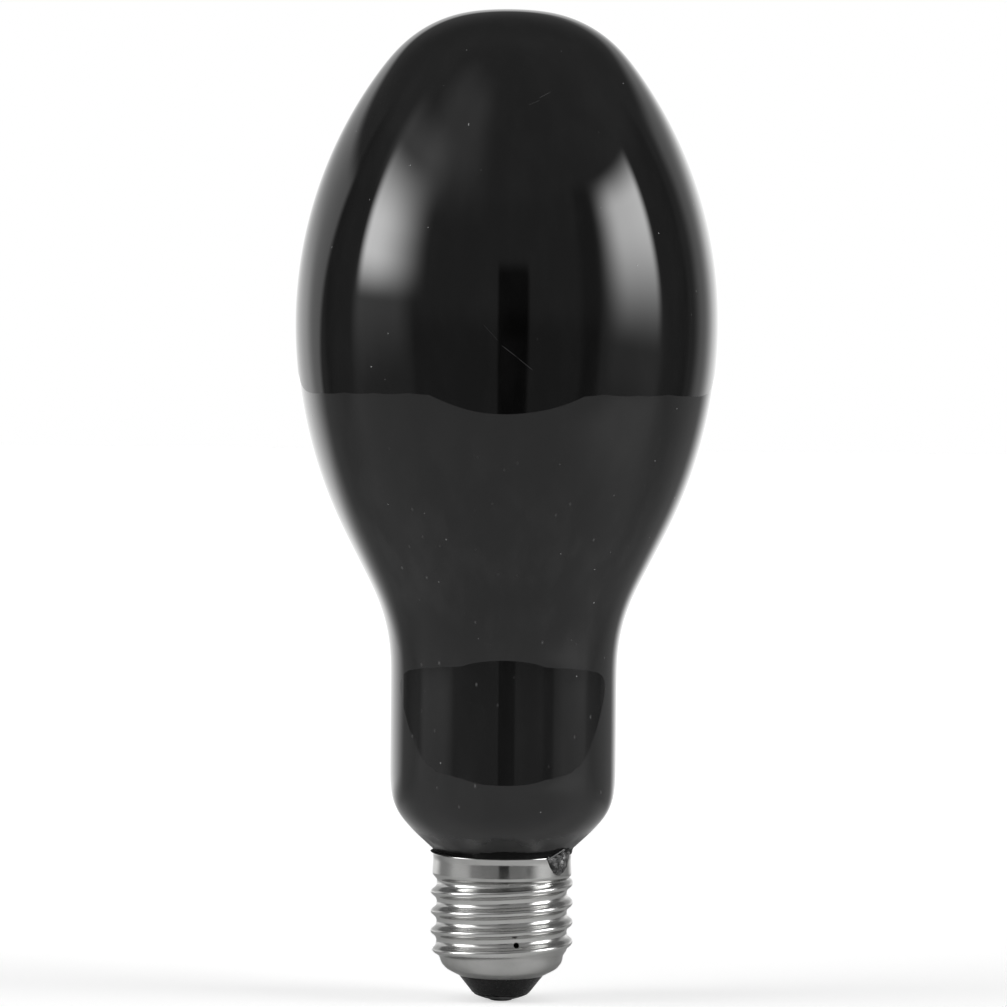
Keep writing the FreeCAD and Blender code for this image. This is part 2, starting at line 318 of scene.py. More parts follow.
def dome_height(radius):
    """Height of the contact's domed face at a distance from the axis."""
    edge_drop = math.sqrt(CONTACT_DOME_RADIUS**2 - CONTACT_RADIUS**2)
    return CONTACT_SEAT - CONTACT_EDGE + edge_drop - math.sqrt(CONTACT_DOME_RADIUS**2 - radius**2)


# Meshes

def new_piece(name, body):
    """An object from a finished bmesh, smooth, with its faces pointing outwards."""
    bmesh.ops.remove_doubles(body, verts=body.verts, dist=1e-7)
    bmesh.ops.recalc_face_normals(body, faces=body.faces)
    if body.calc_volume(signed=True) < 0:
        bmesh.ops.reverse_faces(body, faces=body.faces)
    mesh = bpy.data.meshes.new(name)
    body.to_mesh(mesh)
    body.free()
    mesh.shade_smooth()
    piece = bpy.data.objects.new(name, mesh)
    bpy.context.scene.collection.objects.link(piece)
    return piece


def polar(radius, azimuth, height):
    """A place in metres, from millimetres about the lamp's axis."""
    return (radius*MM*math.cos(azimuth), radius*MM*math.sin(azimuth), height*MM)


def lathe(name, outline, around=192, ring=False, shape=None):
    """Turns an outline of millimetre points about the lamp's axis. A shape moves a point by its azimuth."""
    body = bmesh.new()
    rings = []
    for index, (radius, height) in enumerate(outline):
        if radius < 1e-6:
            rings.append([body.verts.new((0, 0, height*MM))])
            continue
        circle = []
        for step in range(around):
            azimuth = 2*math.pi*step/around
            out, up = shape(index, radius, height, azimuth) if shape else (radius, height)
            circle.append(body.verts.new(polar(out, azimuth, up)))
        rings.append(circle)
    pairs = list(zip(rings, rings[1:]))
    if ring:
        pairs.append((rings[-1], rings[0]))
    for upper, lower in pairs:
        for step in range(around):
            after = (step + 1) % around
            corners = [upper[step % len(upper)], lower[step % len(lower)]]
            if len(lower) > 1:
                corners.append(lower[after])
            if len(upper) > 1:
                corners.append(upper[after])
            body.faces.new(corners)
    return new_piece(name, body)


def settle(piece, slot, *nodes):
    """Fixes a finished piece to the lamp, in place of the solids it stands for."""
    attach(piece, "root")
    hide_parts(*nodes)


# Node trees

def put(tree, kind, inputs=None, **settings):
    """Adds a node with its settings and inputs. An input is a value or the socket it is fed from."""
    node = tree.nodes.new(kind)
    for name, value in settings.items():
        setattr(node, name, value)
    for name, value in (inputs or {}).items():
        if isinstance(value, bpy.types.NodeSocket):
            tree.links.new(value, node.inputs[name])
        else:
            node.inputs[name].default_value = value
    return node


def sums(tree, operation, *values):
    """Result of a Math node."""
    return put(tree, "ShaderNodeMath", dict(enumerate(values)), operation=operation).outputs[0]


def ramp(tree, value, low, high, start=0.0, end=1.0):
    """Eases from start to end as a value goes from low to high."""
    sockets = {"Value": value, "From Min": low, "From Max": high, "To Min": start, "To Max": end}
    return put(tree, "ShaderNodeMapRange", sockets, interpolation_type="SMOOTHSTEP").outputs["Result"]


def band(tree, value, rise_from, rise_to, fall_from, fall_to):
    """One within a range of a value, easing in and out at its ends."""
    rise = ramp(tree, value, rise_from, rise_to)
    fall = ramp(tree, value, fall_from, fall_to, 1.0, 0.0)
    return sums(tree, "MULTIPLY", rise, fall)


def blend(tree, share, first, second):
    """Mixes two colours."""
    node = put(tree, "ShaderNodeMix", data_type="RGBA")
    for socket, value in ((node.inputs[0], share), (node.inputs[6], first), (node.inputs[7], second)):
        if isinstance(value, bpy.types.NodeSocket):
            tree.links.new(value, socket)
        else:
            socket.default_value = value
    return node.outputs[2]


def grey(level):
    """A neutral colour."""
    return (level, level, level, 1.0)


def finish(name):
    """A new material with an empty tree, its surface shader and the piece's own coordinates."""
    material = bpy.data.materials.new(name)
    material.use_nodes = True
    tree = material.node_tree
    tree.nodes.clear()
    shader = put(tree, "ShaderNodeBsdfPrincipled")
    put(tree, "ShaderNodeOutputMaterial", {"Surface": shader.outputs[0]})
    place = put(tree, "ShaderNodeTexCoord").outputs["Object"]
    return material, tree, shader, place


def grain(tree, place, scale, detail=3.0, roughness=0.55):
    """Fine noise at a scale in cycles per metre."""
    sockets = {"Vector": place, "Scale": scale, "Detail": detail, "Roughness": roughness}
    return put(tree, "ShaderNodeTexNoise", sockets).outputs[0]


def bump(tree, shader, height, depth):
    """Feeds a height to a shader's normal. Depth is in metres."""
    node = put(tree, "ShaderNodeBump", {"Height": height, "Distance": depth})
    tree.links.new(node.outputs[0], shader.inputs["Normal"])


def round_the_lamp(tree, place):
    """Azimuth in radians and height in metres of a point on the lamp."""
    axes = put(tree, "ShaderNodeSeparateXYZ", {0: place})
    azimuth = sums(tree, "ARCTAN2", axes.outputs[1], axes.outputs[0])
    return azimuth, axes.outputs[2]


def scratch(tree, place, start, end, width):
    """A straight scratch on the lamp's front between two (x, z) points. Millimetres."""
    axes = put(tree, "ShaderNodeSeparateXYZ", {0: place})
    length = math.dist(start, end)*MM
    run = [(end[0] - start[0])*MM/length, (end[1] - start[1])*MM/length]
    x = sums(tree, "SUBTRACT", axes.outputs[0], start[0]*MM)
    z = sums(tree, "SUBTRACT", axes.outputs[2], start[1]*MM)
    along = sums(tree, "ADD", sums(tree, "MULTIPLY", x, run[0]), sums(tree, "MULTIPLY", z, run[1]))
    off = sums(tree, "SUBTRACT", sums(tree, "MULTIPLY", x, run[1]), sums(tree, "MULTIPLY", z, run[0]))
    line = ramp(tree, sums(tree, "ABSOLUTE", off), 0.4*width*MM, width*MM, 1.0, 0.0)
    line = sums(tree, "MULTIPLY", line, band(tree, along, 0.0, 0.2*length, 0.8*length, length))
    return sums(tree, "MULTIPLY", line, sums(tree, "LESS_THAN", axes.outputs[1], 0.0))


# Finishes, with heights in metres and grain in cycles per metre

def black_glass():
    """Near-black filter glass with dust, fine scratches and faint wiping marks."""
    material, tree, shader, place = finish("black_glass")
    _, height = round_the_lamp(tree, place)
    low = ramp(tree, height, 0.075, 0.115, 1.0, 0.0)
    faint = sums(tree, "MULTIPLY", low, 0.26)
    # Layers of specks: stretch, cells per metre, size of core and edge in cells, weight
    layers = (
        (1.0, 290.0, 0.02, 0.052, 1.0),
        (0.3, 150.0, 0.012, 0.026, 1.0),
        (0.6, 430.0, 0.02, 0.13, faint),
    )
    dust = None
    for stretch, scale, small, large, weight in layers:
        spread = put(tree, "ShaderNodeMapping", {"Vector": place, "Scale": (1.0, 1.0, stretch)})
        specks = put(tree, "ShaderNodeTexVoronoi", {"Vector": spread.outputs[0], "Scale": scale})
        near = ramp(tree, specks.outputs["Distance"], small, large, 1.0, 0.0)
        chance = put(tree, "ShaderNodeSeparateColor", {0: specks.outputs["Color"]}).outputs[0]
        seen = ramp(tree, sums(tree, "MULTIPLY_ADD", low, 0.2, chance), 0.45, 1.1)
        layer = sums(tree, "MULTIPLY", sums(tree, "MULTIPLY", near, seen), weight)
        dust = layer if dust is None else sums(tree, "MAXIMUM", dust, layer)
    for start, end, plainness in SCRATCHES:
        line = scratch(tree, place, start, end, SCRATCH_WIDTH)
        dust = sums(tree, "MAXIMUM", dust, sums(tree, "MULTIPLY", line, plainness))
    streaks = put(tree, "ShaderNodeMapping", {"Vector": place, "Scale": (1.0, 1.0, 0.3)})
    wiping = grain(tree, streaks.outputs[0], 240.0, 4.0)
    haze = sums(tree, "MULTIPLY", ramp(tree, wiping, 0.4, 0.72), sums(tree, "MULTIPLY_ADD", low, 0.7, 0.3))
    film = blend(tree, haze, grey(0.0025), grey(0.011))
    # Lighter base colour from the neck down.
    neck = ramp(tree, height, 0.055, 0.075, 1.0, 0.0)
    film = blend(tree, sums(tree, "MULTIPLY", neck, 0.6), film, grey(0.014))
    tree.links.new(blend(tree, dust, film, grey(0.36)), shader.inputs["Base Color"])
    dulled = sums(tree, "MULTIPLY_ADD", haze, 0.03, 0.018)
    cone_foot = ramp(tree, height, 0.0295, 0.034, 1.0, 0.0)
    smear = sums(tree, "MULTIPLY", cone_foot, ramp(tree, wiping, 0.3, 0.6, 0.28, 0.5))
    rough = sums(tree, "MAXIMUM", sums(tree, "MAXIMUM", dulled, smear), sums(tree, "MULTIPLY", dust, 0.7))
    tree.links.new(rough, shader.inputs["Roughness"])
    shader.inputs["IOR"].default_value = 1.5
    wave = grain(tree, place, 38.0, 1.0)
    bump(tree, shader, wave, 0.00012)
    return material


def plated_shell():
    """Bright plated sheet with rolling marks, a painted sheen lightening the thread and painted shade
    darkening it near the insulator.
    """
    material, tree, shader, place = finish("plated_shell")
    azimuth, height = round_the_lamp(tree, place)
    lines = put(tree, "ShaderNodeCombineXYZ", {0: sums(tree, "MULTIPLY", azimuth, 0.002), 2: height})
    marks = grain(tree, lines.outputs[0], 5200.0, 2.0)
    dents = grain(tree, place, 420.0, 1.0)
    patches = grain(tree, place, 190.0, 4.0)
    colour = blend(tree, ramp(tree, patches, 0.42, 0.72), (0.53, 0.53, 0.52, 1.0), (0.45, 0.45, 0.44, 1.0))
    # Lighter metal colour over the thread: a painted sheen standing in for brighter reflections.
    threaded = band(tree, height, 0.0082, 0.0096, 0.0222, 0.0232)
    thread_sheen = sums(tree, "MULTIPLY", threaded, 0.5)
    colour = blend(tree, thread_sheen, colour, (0.67, 0.67, 0.66, 1.0))
    # Darker metal colour towards the insulator: painted shade standing in for a darker reflection there.
    tail_shade = ramp(tree, height, 0.0058, 0.0082, 0.4, 0.0)
    colour = blend(tree, tail_shade, colour, (0.38, 0.38, 0.37, 1.0))
    tree.links.new(colour, shader.inputs["Base Color"])
    shader.inputs["Metallic"].default_value = 1.0
    shader.inputs["Specular Tint"].default_value = grey(0.6)
    dullness = ramp(tree, height, 0.0225, 0.024, 0.17, 0.11)
    rough = sums(tree, "MULTIPLY_ADD", ramp(tree, patches, 0.35, 0.75), 0.06, dullness)
    tree.links.new(rough, shader.inputs["Roughness"])
    bump(tree, shader, sums(tree, "MULTIPLY_ADD", marks, 0.08, dents), 0.000006)
    return material


def black_cement():
    """Black capping cement, matt and lumpy."""
    material, tree, shader, place = finish("black_cement")
    lumps = grain(tree, place, 900.0, 5.0)
    colour = blend(tree, lumps, grey(0.002), grey(0.008))
    tree.links.new(colour, shader.inputs["Base Color"])
    shader.inputs["Specular IOR Level"].default_value = 0.1
    rough = ramp(tree, lumps, 0.3, 0.7, 0.5, 0.75)
    tree.links.new(rough, shader.inputs["Roughness"])
    bump(tree, shader, lumps, 0.0002)
    return material


def insulator_glass():
    """Black moulded glass with a slightly dulled, pitted face."""
    material, tree, shader, place = finish("insulator_glass")
    pits = grain(tree, place, 1400.0, 4.0)
    colour = blend(tree, pits, grey(0.003), grey(0.008))
    tree.links.new(colour, shader.inputs["Base Color"])
    shader.inputs["Specular IOR Level"].default_value = 0.18
    rough = ramp(tree, pits, 0.3, 0.7, 0.22, 0.4)
    tree.links.new(rough, shader.inputs["Roughness"])
    bump(tree, shader, pits, 0.00006)
    return material


def contact_metal():
    """Dark contact metal, nearly black."""
    material, tree, shader, place = finish("contact_metal")
    wear = grain(tree, place, 700.0, 5.0)
    colour = blend(tree, ramp(tree, wear, 0.4, 0.7), grey(0.008), grey(0.03))
    tree.links.new(colour, shader.inputs["Base Color"])
    shader.inputs["Metallic"].default_value = 0.8
    shader.inputs["Specular IOR Level"].default_value = 0.2
    rough = ramp(tree, wear, 0.3, 0.7, 0.5, 0.34)
    tree.links.new(rough, shader.inputs["Roughness"])
    bump(tree, shader, wear, 0.00008)
    return material


def solder(name, dark, bright):
    """Dull lead solder, grainy, with brighter ridges."""
    material, tree, shader, place = finish(name)
    lumps = grain(tree, place, 760.0, 4.0)
    colour = blend(tree, ramp(tree, lumps, 0.4, 0.68), grey(dark), grey(bright))
    tree.links.new(colour, shader.inputs["Base Color"])
    shader.inputs["Metallic"].default_value = 0.85
    rough = ramp(tree, lumps, 0.35, 0.7, 0.58, 0.42)
    tree.links.new(rough, shader.inputs["Roughness"])
    bump(tree, shader, lumps, 0.0001)
    return material


def lead_wire():
    """Tinned wire, dulled by flux, with fine draw marks."""
    material, tree, shader, place = finish("lead_wire")
    marks = grain(tree, place, 2500.0, 3.0)
    colour = blend(tree, marks, grey(0.14), grey(0.32))
    tree.links.new(colour, shader.inputs["Base Color"])
    shader.inputs["Metallic"].default_value = 1.0
    rough = ramp(tree, marks, 0.3, 0.7, 0.34, 0.5)
    tree.links.new(rough, shader.inputs["Roughness"])
    return material


# Geometry trees

def geometry_tree(name, sizes):
    """A geometry tree with a mesh, named sizes and a material going in, and a mesh coming out."""
    tree = bpy.data.node_groups.new(name, "GeometryNodeTree")
    tree.interface.new_socket("Geometry", in_out="INPUT", socket_type="NodeSocketGeometry")
    for size in sizes:
        tree.interface.new_socket(size, in_out="INPUT", socket_type="NodeSocketFloat")
    tree.interface.new_socket("Finish", in_out="INPUT", socket_type="NodeSocketMaterial")
    tree.interface.new_socket("Geometry", in_out="OUTPUT", socket_type="NodeSocketGeometry")
    return tree, put(tree, "NodeGroupInput")


def close_tree(tree, given, shape):
    """Ends a geometry tree: real geometry with its finish on it."""
    real = put(tree, "GeometryNodeRealizeInstances", {0: shape})
    sockets = {"Geometry": real.outputs[0], "Material": given.outputs["Finish"]}
    painted = put(tree, "GeometryNodeSetMaterial", sockets)
    put(tree, "NodeGroupOutput", {0: painted.outputs[0]})


def baked(piece, step):
    """The plain mesh that a modifier makes of a piece. The modifier is taken off again."""
    evaluated = piece.evaluated_get(bpy.context.evaluated_depsgraph_get())
    mesh = bpy.data.meshes.new_from_object(evaluated)
    piece.modifiers.remove(step)
    return mesh


def work(piece, tree, values):
    """Runs a geometry tree on a piece and leaves a plain mesh."""
    step = piece.modifiers.new(tree.name, "NODES")
    step.node_group = tree
    for item in tree.interface.items_tree:
        if item.in_out == "INPUT" and item.name in values:
            step[item.identifier] = values[item.name]
    piece.data = baked(piece, step)
    piece.data.shade_smooth()


def drill(piece, cutter):
    """Cuts one piece out of another, which stays a plain mesh with a crisp edge at the cut."""
    step = piece.modifiers.new("drill", "BOOLEAN")
    step.operation = "DIFFERENCE"
    step.solver = "EXACT"
    step.object = cutter
    mesh = baked(piece, step)
    body = bmesh.new()
    body.from_mesh(mesh)
    bmesh.ops.dissolve_degenerate(body, dist=1e-6, edges=body.edges)
    bmesh.ops.triangulate(body, faces=[face for face in body.faces if len(face.verts) > 4])
    for edge in body.edges:
        edge.smooth = edge.calc_face_angle(0.0) < CRISP_ANGLE
    body.to_mesh(mesh)
    body.free()
    piece.data = mesh
    bpy.data.objects.remove(cutter)


def arc_drop(tree, radius, aside):
    """How far an arc falls away from its top at a distance to one side."""
    whole = sums(tree, "MULTIPLY", radius, radius)
    square = sums(tree, "SUBTRACT", whole, sums(tree, "MULTIPLY", aside, aside))
    return sums(tree, "SUBTRACT", radius, sums(tree, "SQRT", sums(tree, "MAXIMUM", square, 0.0)))


def thread_rolling():
    """Rolls a knuckle thread into a turned blank: both faces of the sheet move out together."""
    sizes = [
        "Pitch", "Crest Radius", "Valley Radius", "Flank Angle", "Root Radius", "Lowest Crest",
        "First Turn", "Last Turn", "Run In", "Run Out",
    ]
    tree, given = geometry_tree("thread_rolling", sizes)
    size = given.outputs
    place = put(tree, "GeometryNodeInputPosition").outputs[0]
    axes = put(tree, "ShaderNodeSeparateXYZ", {0: place})
    x, y, z = axes.outputs
    square = sums(tree, "ADD", sums(tree, "MULTIPLY", x, x), sums(tree, "MULTIPLY", y, y))
    radius = sums(tree, "SQRT", square)
    stored = put(tree, "GeometryNodeInputNamedAttribute", {"Name": "sheet_depth"}, data_type="FLOAT")
    depth = stored.outputs[0]
    outside = sums(tree, "ADD", radius, depth)
    part_turn = sums(tree, "DIVIDE", sums(tree, "ARCTAN2", y, x), 2*math.pi)
    above = sums(tree, "SUBTRACT", z, size["Lowest Crest"])
    axial = sums(tree, "SUBTRACT", above, sums(tree, "MULTIPLY", part_turn, size["Pitch"]))
    crest = sums(tree, "ROUND", sums(tree, "DIVIDE", axial, size["Pitch"]))
    away = sums(tree, "ABSOLUTE", sums(tree, "SUBTRACT", axial, sums(tree, "MULTIPLY", crest, size["Pitch"])))
    turn = sums(tree, "ADD", part_turn, crest)
    half = sums(tree, "MULTIPLY", size["Pitch"], 0.5)
    back = sums(tree, "SUBTRACT", half, away)
    crest_end = sums(tree, "MULTIPLY", size["Crest Radius"], sums(tree, "SINE", size["Flank Angle"]))
    valley_end = sums(tree, "MULTIPLY", size["Valley Radius"], sums(tree, "SINE", size["Flank Angle"]))
    slope = sums(tree, "TANGENT", size["Flank Angle"])
    over = arc_drop(tree, size["Crest Radius"], sums(tree, "MINIMUM", away, crest_end))
    past_crest = sums(tree, "MAXIMUM", sums(tree, "SUBTRACT", away, crest_end), 0.0)
    below = sums(tree, "MULTIPLY", past_crest, slope)
    flank = sums(tree, "SUBTRACT", sums(tree, "SUBTRACT", half, crest_end), valley_end)
    straight = sums(tree, "MULTIPLY", flank, slope)
    full = sums(tree, "ADD", arc_drop(tree, size["Crest Radius"], crest_end), straight)
    full = sums(tree, "ADD", full, arc_drop(tree, size["Valley Radius"], valley_end))
    crown = sums(tree, "SUBTRACT", sums(tree, "SUBTRACT", full, over), below)
    hollow = arc_drop(tree, size["Valley Radius"], back)
    inner = sums(tree, "LESS_THAN", valley_end, back)
    lower = sums(tree, "MULTIPLY", sums(tree, "SUBTRACT", 1.0, inner), hollow)
    profile = sums(tree, "ADD", sums(tree, "MULTIPLY", inner, crown), lower)
    full_from = sums(tree, "ADD", size["First Turn"], size["Run In"])
    full_to = sums(tree, "SUBTRACT", size["Last Turn"], size["Run Out"])
    grown = band(tree, turn, size["First Turn"], full_from, full_to, size["Last Turn"])
    raised = sums(tree, "MULTIPLY", profile, grown)
    stands_on = sums(tree, "MINIMUM", outside, size["Root Radius"])
    rolled = sums(tree, "SMOOTH_MAX", outside, sums(tree, "ADD", stands_on, raised), THREAD_BLEND*MM)
    moved = sums(tree, "DIVIDE", sums(tree, "SUBTRACT", rolled, depth), radius)
    moved_x = sums(tree, "MULTIPLY", x, moved)
    moved_y = sums(tree, "MULTIPLY", y, moved)
    target = put(tree, "ShaderNodeCombineXYZ", {0: moved_x, 1: moved_y, 2: z})
    sockets = {"Geometry": size["Geometry"], "Position": target.outputs[0]}
    shaped = put(tree, "GeometryNodeSetPosition", sockets)
    close_tree(tree, given, shaped.outputs[0])
    return tree


# Pieces

def make_glass_bulb(material):
    """The blown bulb with its taper, neck, cone and sealed end."""
    bulb = lathe("blown_bulb", bulb_outline())
    bulb.data.materials.append(material)
    settle(bulb, "black_glass", "glass_bulb")


def make_cap_shell(material):
    """The cap shell: a turned blank with a rolled thread and a drilled vent."""
    outside = evenly(shell_outside(), SHELL_SPACING)
    inside = [(radius - SHEET, height) for radius, height in outside if height < RIM_HEIGHT - SHEET][::-3]
    inside[0] = (LIP_RADIUS - LIP_INSET, LIP_HEIGHT + SHEET)
    around = 192
    shell = lathe("rolled_cap_shell", outside + inside, around, ring=True)
    depth = shell.data.attributes.new("sheet_depth", "FLOAT", "POINT")
    for vertex in shell.data.vertices:
        depth.data[vertex.index].value = 0.0 if vertex.index < around*len(outside) else SHEET*MM
    values = {
        "Pitch": PITCH*MM,
        "Crest Radius": CREST_RADIUS*MM,
        "Valley Radius": VALLEY_RADIUS*MM,
        "Flank Angle": FLANK_ANGLE,
        "Root Radius": ROOT_RADIUS*MM,
        "Lowest Crest": LOWEST_CREST*MM,
        "First Turn": FIRST_TURN,
        "Last Turn": LAST_TURN,
        "Run In": RUN_IN,
        "Run Out": RUN_OUT,
        "Finish": material,
    }
    work(shell, thread_rolling(), values)
    near, far = ROOT_RADIUS - VENT_DRILL_REACH, ROOT_RADIUS + VENT_DRILL_REACH
    bit = lathe("vent_drill", [(0.0, near), (VENT_RADIUS, near), (VENT_RADIUS, far), (0.0, far)], around=32)
    lifted = Matrix.Translation((0, 0, VENT_HEIGHT*MM))
    laid = Matrix.Rotation(VENT_AZIMUTH, 4, "Z") @ Matrix.Rotation(math.pi/2, 4, "Y")
    bit.data.transform(lifted @ laid)
    drill(shell, bit)
    settle(shell, "plated_shell", "cap_shell")


def make_insulator(material):
    """The black glass cone under the shell's lip."""
    outline = evenly(rounded(INSULATOR_CORNERS, INSULATOR_BENDS), INSULATOR_SPACING)
    cone = lathe("insulator_cone", outline, around=128)
    cone.data.materials.append(material)
    settle(cone, "insulator_glass", "insulator")


def unevenness(azimuth, height, scale):
    """Smooth random value about 0 at a place round the cap. The scale is in lumps per millimetre."""
    spot = Vector((COLLAR_RADIUS*math.cos(azimuth), COLLAR_RADIUS*math.sin(azimuth), height))
    return noise.noise(spot*scale)


def eased(stations, value):
    """Value of a curve that eases from one (place, value) station to the next."""
    for (start, low), (end, high) in zip(stations, stations[1:]):
        if value <= end:
            share = max(0.0, (value - start)/(end - start))
            return low + (high - low)*share*share*(3 - 2*share)
    return stations[-1][1]


def make_cement(material):
    """Cement ring with the lip that was squeezed out over the rim and smeared up the glass in front."""
    outline = list(CEMENT_RING) + [(COLLAR_RADIUS, RIM_HEIGHT)]*(len(LIP_STEPS) + WALL_STEPS)

    def squeezed(index, radius, height, azimuth):
        """Radius and height of the lip and the wall at an azimuth. The hidden ring stays as it is."""
        if index < len(CEMENT_RING):
            return radius, height
        bearing = (math.degrees(azimuth) + 270) % 360 - 180
        hang = CEMENT_HANG - CEMENT_HANG_AT_LEFT*math.cos(azimuth)
        hang += HANG_LUMPS*unevenness(azimuth, 0.0, 0.45)
        climb = eased(CEMENT_CLIMBS, bearing)
        climb += CEMENT_LUMPS*unevenness(azimuth, 5.0, 0.6)
        climb += CEMENT_LUMPS*unevenness(azimuth, 9.0, 1.7)
        climb = max(LEAST_CLIMB, climb)
        step = index - len(CEMENT_RING)
        if step < len(LIP_STEPS):
            share = LIP_STEPS[step]
            out = LIP_START + (1 - LIP_START)*math.sin(share*LIP_TURN)
            return COLLAR_RADIUS + hang*out, RIM_HEIGHT + CEMENT_LIP*share
        share = (step - len(LIP_STEPS) + 1)/WALL_STEPS
        place = RIM_HEIGHT + CEMENT_LIP + (climb - CEMENT_LIP)*share
        if share == 1:
            return cone_radius(place) - CEMENT_TUCK, place
        foot = COLLAR_RADIUS + LIP_END*hang
        filled = min(climb, FILLED_CLIMB)
        part = min(1.0, (place - RIM_HEIGHT - CEMENT_LIP)/(filled - CEMENT_LIP))
        level = foot + (cone_radius(RIM_HEIGHT + filled) - foot)*part**0.8
        skin = cone_radius(place) + CEMENT_SKIN + SKIN_LUMPS*unevenness(azimuth, place, 1.4)
        return max(level, skin), place

    ring = lathe("squeezed_cement", outline, around=288, ring=True, shape=squeezed)
    ring.data.materials.append(material)
    settle(ring, "cement", "capping_cement")


def make_contact(plate_material, drop_material):
    """Domed contact disc and the drop of solder in its eyelet, worn flat at the tip."""
    dome_start = CONTACT_SEAT - CONTACT_EDGE
    dome_edge = CONTACT_RADIUS - CONTACT_FILLET
    plate = [
        (LEAD_HOLE_RADIUS, CONTACT_SEAT),
        (CONTACT_RADIUS - CONTACT_ROUND, CONTACT_SEAT),
        (CONTACT_RADIUS, CONTACT_SEAT - CONTACT_ROUND),
        (CONTACT_RADIUS, dome_start + CONTACT_FILLET),
        (CONTACT_RADIUS - CONTACT_FILLET/3, dome_start + CONTACT_FILLET/3),
    ]
    for step in range(DOME_STEPS + 1):
        radius = dome_edge - (dome_edge - LEAD_HOLE_RADIUS)*step/DOME_STEPS
        plate.append((radius, dome_height(radius)))
    disc = lathe("contact_disc", plate, around=128, ring=True)
    disc.data.materials.append(plate_material)
    settle(disc, "contact_metal", "contact_plate")
    edge = dome_height(SOLDER_DROP_RADIUS)
    rounding = SOLDER_DROP_RADIUS - SOLDER_DROP_FLAT
    drop = [
        (0.0, CONTACT_SEAT),
        (LEAD_HOLE_RADIUS, CONTACT_SEAT),
        (LEAD_HOLE_RADIUS, dome_height(LEAD_HOLE_RADIUS)),
        (SOLDER_DROP_RADIUS, edge),
    ]
    for step in range(1, DROP_STEPS + 1):
        angle = math.pi/2*step/DROP_STEPS
        drop.append((SOLDER_DROP_FLAT + rounding*math.cos(angle), edge*(1 - math.sin(angle))))
    drop += [(SOLDER_DROP_FLAT/2, 0.0), (0.0, 0.0)]
    tip = lathe("contact_solder_drop", drop, around=96)
    tip.data.materials.append(drop_material)
    settle(tip, "solder", "contact_solder")


def along(points, share):
    """A point on a line of (azimuth, height) points, spaced evenly by their count."""
    place = share*(len(points) - 1)
    index = min(int(place), len(points) - 2)
    part = place - index
    start, end = points[index], points[index + 1]
    return start[0] + (end[0] - start[0])*part, start[1] + (end[1] - start[1])*part


def make_drip(material):
    """Drip of solder that ran from the lead over the rim and down the collar."""
    across, down = 48, 44
    body = bmesh.new()
    outer, inner = [], []
    for row in range(down + 1):
        low = row/down
        start, end = along(DRIP_LEFT, low), along(DRIP_RIGHT, low)
        outer.append([])
        inner.append([])
        for column in range(across + 1):
            share = column/across
            azimuth = math.radians(start[0] + (end[0] - start[0])*share)
            height = start[1] + (end[1] - start[1])*share - DRIP_SAG*math.sin(math.pi*share)*low**6
            height += DRIP_TOP_LUMPS*unevenness(azimuth, 3.0, 0.9)*(1 - low)**4
            base = max(COLLAR_RADIUS - DRIP_SEATING, cone_radius(height) - DRIP_SEATING)
            if row in (0, down) or column in (0, across):
                corner = body.verts.new(polar(base, azimuth, height))
                outer[-1].append(corner)
                inner[-1].append(corner)
                continue
            edge = (max(0.0, 1 - abs(2*share - 1)**3)**0.6)*min(1.0, low/0.16, (1 - low)/0.12)**0.5
            thick = (DRIP_THICKNESS - DRIP_THINNING*share)*edge
            thick += DRIP_LUMPS[0]*edge*unevenness(azimuth, height, DRIP_LUMPS[1])
            thick += DRIP_SMALL_LUMPS[0]*edge*unevenness(azimuth, height + 7, DRIP_SMALL_LUMPS[1])
            outer[-1].append(body.verts.new(polar(base + max(DRIP_LEAST, thick), azimuth, height)))
            inner[-1].append(body.verts.new(polar(base, azimuth, height)))
    for row in range(down):
        for column in range(across):
            for rows in (outer, inner):
                upper, lower = rows[row], rows[row + 1]
                corners = [upper[column], lower[column], lower[column + 1], upper[column + 1]]
                if rows is inner:
                    corners = corners[::-1]
                body.faces.new(corners)
    drip = new_piece("side_solder_drip", body)
    drip.data.materials.append(material)
    settle(drip, "solder", "side_solder")


# Stage, light and camera

